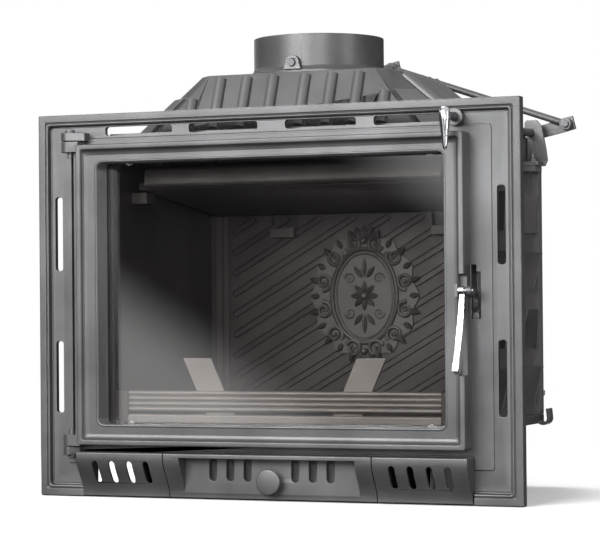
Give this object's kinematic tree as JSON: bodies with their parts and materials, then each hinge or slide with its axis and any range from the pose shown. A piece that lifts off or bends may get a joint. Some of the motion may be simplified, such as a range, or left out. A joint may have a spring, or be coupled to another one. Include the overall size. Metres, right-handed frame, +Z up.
{
  "type": "wood burning fireplace insert",
  "caption": "Cast-iron wood burning fireplace insert with a glazed hinged door, a pull-out ash drawer, a smoke hood with a flue collar, and a lever-worked flue damper",
  "frame": {"origin": "on the floor, under the middle of the insert, on the flat underside of the ash box", "axes": "X across the front from the hinge side to the handle side, Y from the front to the back, Z up"},
  "size_m": [0.69, 0.4228, 0.625],
  "materials": {
    "cast_iron": "satin graphite-grey stove paint on cast iron",
    "fired_iron": "bare, heat-darkened cast iron inside the firebox",
    "chrome": "polished",
    "steel": "plain dull steel",
    "glass": "clear heat-proof ceramic glass with a slight smoke tint",
    "rope": "braided glass-fibre sealing rope"
  },
  "bodies": {
    "insert": {"front_frame": "cast_iron", "left_air_grille": "cast_iron", "right_air_grille": "cast_iron", "left_wall": "cast_iron", "right_wall": "cast_iron", "back_wall": "cast_iron", "base_plate": "cast_iron", "ash_box": "cast_iron", "smoke_hood": "cast_iron", "flue_collar": "cast_iron", "shaft_bearing": "cast_iron", "grate": "fired_iron", "back_liner": "fired_iron", "lower_baffle": "fired_iron", "upper_baffle": "fired_iron", "log_bar": "fired_iron", "log_bar_bracket_left": "fired_iron", "log_bar_bracket_right": "fired_iron", "log_horn_left": "fired_iron", "log_horn_right": "fired_iron", "hinge_pin_upper": "steel", "hinge_pin_lower": "steel", "latch_keeper": "steel", "bearing_bolt": "steel", "frame_bolt_lower_left": "steel", "frame_bolt_lower_right": "steel", "frame_bolt_upper_left": "steel", "frame_bolt_upper_right": "steel", "back_bolt_lower_left": "steel", "back_bolt_lower_right": "steel", "back_bolt_upper_left": "steel", "back_bolt_upper_right": "steel"},
    "ash_drawer": {"ash_drawer_front": "cast_iron", "ash_drawer_knob": "cast_iron", "knob_nut": "steel", "ash_pan": "steel"},
    "door": {"door_frame": "cast_iron", "door_gasket": "rope", "glass_gasket": "rope", "door_glass": "glass", "glass_clip_top_left": "steel", "glass_clip_top_right": "steel", "glass_clip_bottom_left": "steel", "glass_clip_bottom_right": "steel"},
    "latch": {"door_handle": "chrome", "handle_pin": "steel", "latch_hook": "steel"},
    "lever_and_shaft": {"damper_lever": "chrome", "damper_shaft": "steel", "shaft_crank": "steel", "link_pin_lower": "steel"},
    "link": {"link_rod": "steel"},
    "damper_blade": {"damper_plate": "fired_iron", "damper_axle": "steel", "axle_crank": "steel", "link_pin_upper": "steel"}
  },
  "joints": [
    {"name": "ash_drawer_slide", "type": "slide", "parent": "insert", "child": "ash_drawer", "axis": [0, -1, 0], "range_m": [0, 0.2]},
    {"name": "door_hinge", "type": "hinge", "parent": "insert", "child": "door", "pos_m": [-0.291, -0.199, 0.274], "axis": [0, 0, -1], "range_deg": [0, 110]},
    {"name": "latch_handle", "type": "hinge", "parent": "door", "child": "latch", "pos_m": [0.2712, -0.2075, 0.274], "axis": [-1, 0, 0], "range_deg": [0, 60]},
    {"name": "damper_lever_turn", "type": "hinge", "parent": "insert", "child": "lever_and_shaft", "pos_m": [0.259, -0.232, 0.496], "axis": [0, -1, 0], "range_deg": [0, 90]},
    {"name": "link_swing", "type": "hinge", "parent": "lever_and_shaft", "child": "link", "pos_m": [0.307, 0.149, 0.508], "axis": [0, -1, 0], "range_deg": [-90, 0]},
    {"name": "damper_axle_turn", "type": "hinge", "parent": "insert", "child": "damper_blade", "pos_m": [0, -0.012, 0.585], "axis": [0, -1, 0], "range_deg": [0, 90]}
  ],
  "couplings": [
    {"joint": "link_swing", "follows": "damper_lever_turn", "ratio": -1},
    {"joint": "damper_axle_turn", "follows": "damper_lever_turn", "ratio": 1}
  ]
}
